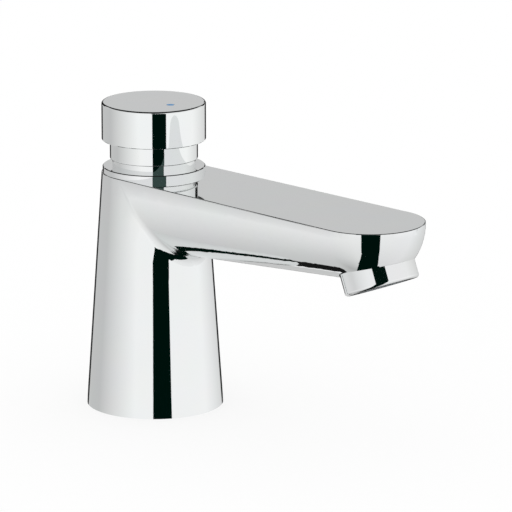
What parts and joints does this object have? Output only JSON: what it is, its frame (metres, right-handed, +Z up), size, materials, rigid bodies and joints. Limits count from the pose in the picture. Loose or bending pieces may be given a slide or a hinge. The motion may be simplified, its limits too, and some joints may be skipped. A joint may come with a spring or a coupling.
{
  "type": "push timed basin tap",
  "caption": "Self-closing basin tap: pressing the round cap opens the valve, water leaves the level spout through an aerator, and a timing chamber shuts it off.",
  "frame": {"origin": "on the body's axis, in the plane of the deck that the tap stands on", "axes": "+Z up along the body's axis, +X from the body towards the outlet, +Y to the left seen from behind"},
  "size_m": [0.1639, 0.0534, 0.17],
  "materials": {
    "chrome_casting": "polished chrome plate on a cast body",
    "chrome_turned": "polished chrome plate on turned brass",
    "brass": "turned brass, unplated",
    "steel": "stainless steel, as drawn",
    "zinc_steel": "zinc plated steel",
    "black_rubber": "moulded nitrile rubber, matt",
    "white_acetal": "moulded acetal, satin",
    "grey_acetal": "moulded acetal, satin",
    "blue_plastic": "glossy blue insert"
  },
  "bodies": {
    "tap": {"body_casting": "chrome_casting", "base_gasket": "black_rubber", "retaining_ring": "chrome_turned", "guide_sleeve": "chrome_turned", "cartridge_head": "brass", "spindle_seal": "black_rubber", "cartridge_housing": "brass", "cartridge_seals": "black_rubber", "return_spring": "steel", "timing_plate": "white_acetal", "timing_pin": "steel", "stem_seal": "black_rubber", "valve_seat": "brass", "inlet_shank": "brass", "shank_seal": "black_rubber", "flow_limiter": "grey_acetal", "inlet_strainer": "white_acetal", "deck_washer_rubber": "black_rubber", "deck_washer_steel": "zinc_steel", "backnut": "brass", "aerator_shell": "chrome_turned", "aerator_gasket": "black_rubber", "aerator_insert": "grey_acetal", "aerator_screens": "steel", "aerator_jet_plate": "white_acetal"},
    "plunger": {"push_cap": "chrome_turned", "colour_dot": "blue_plastic", "cap_lock_nut": "brass", "spindle": "steel", "piston": "white_acetal", "piston_lip_seal": "black_rubber", "valve_stem": "steel", "valve_washer": "black_rubber", "valve_carrier": "brass", "valve_nut": "brass"}
  },
  "joints": [
    {"name": "cap_push", "type": "slide", "parent": "tap", "child": "plunger", "axis": [0, 0, -1], "range_m": [0, 0.006], "stiffness_N_per_m": 1500, "springref_m": -0.008, "deforming": ["return_spring"]}
  ]
}
